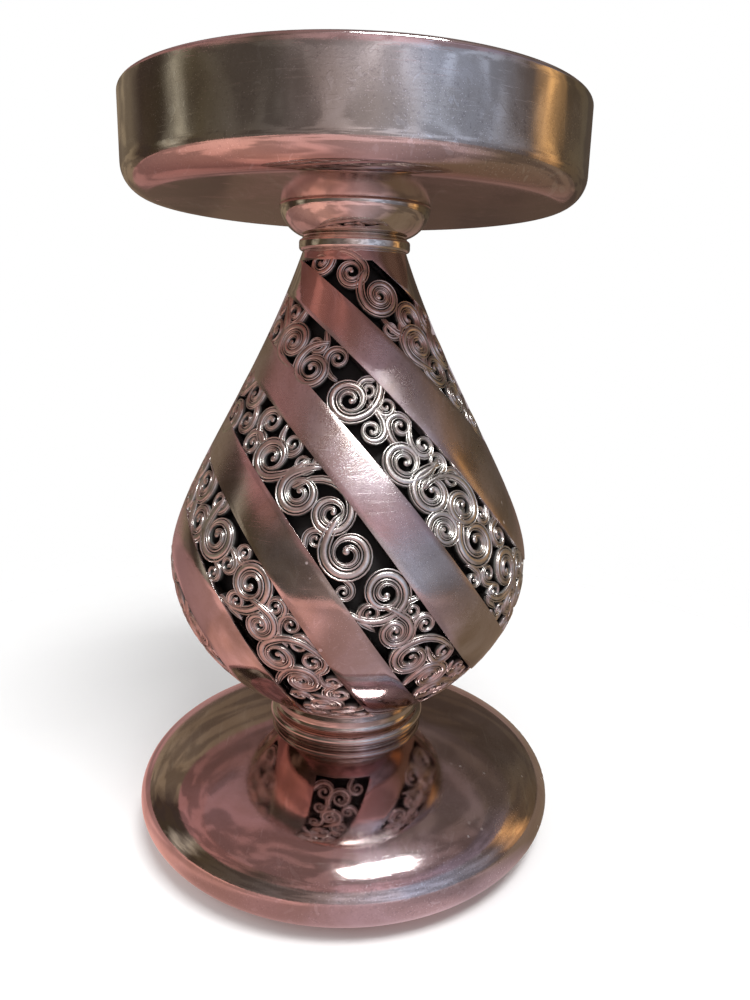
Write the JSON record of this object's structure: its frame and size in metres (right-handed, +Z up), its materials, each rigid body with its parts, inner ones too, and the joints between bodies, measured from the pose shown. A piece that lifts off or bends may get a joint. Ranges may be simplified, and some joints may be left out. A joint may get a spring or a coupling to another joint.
{
  "type": "pillar candle stand",
  "caption": "Silver-plated pillar or hurricane candle stand: shallow cup, bowl knob, pear body of plain diagonal bands and pierced spiral scroll strips, low domed foot",
  "frame": {"origin": "centre of the foot's underside, on the table", "axes": "+Z up along the stand's axis, -Y towards the front of the pierced pattern, +X to the right seen from the front"},
  "size_m": [0.0968, 0.0968, 0.158],
  "materials": {
    "silver_plate": "polished antiqued silver plate with fine scratches",
    "silver_bands": "worn silver plate, faintly sandy",
    "silver_scroll": "cast silver plate with blackened recesses",
    "black_core": "matt black",
    "weight_iron": "rough cast",
    "steel": "zinc plated",
    "felt": "dark felt"
  },
  "bodies": {
    "root": {"cup": "silver_plate", "knob": "silver_plate", "neck_ring": "silver_plate", "body_front": "silver_bands", "body_back": "silver_bands", "scroll_front_1": "silver_scroll", "scroll_front_2": "silver_scroll", "scroll_front_3": "silver_scroll", "scroll_front_4": "silver_scroll", "scroll_front_5": "silver_scroll", "scroll_back_1": "silver_scroll", "scroll_back_2": "silver_scroll", "scroll_back_3": "silver_scroll", "scroll_back_4": "silver_scroll", "scroll_back_5": "silver_scroll", "inner_core": "black_core", "lower_collar": "silver_plate", "foot_shell": "silver_plate", "foot_weight": "weight_iron", "washer": "steel", "nut": "steel", "tie_bolt": "steel", "felt_pad": "felt"}
  },
  "joints": []
}
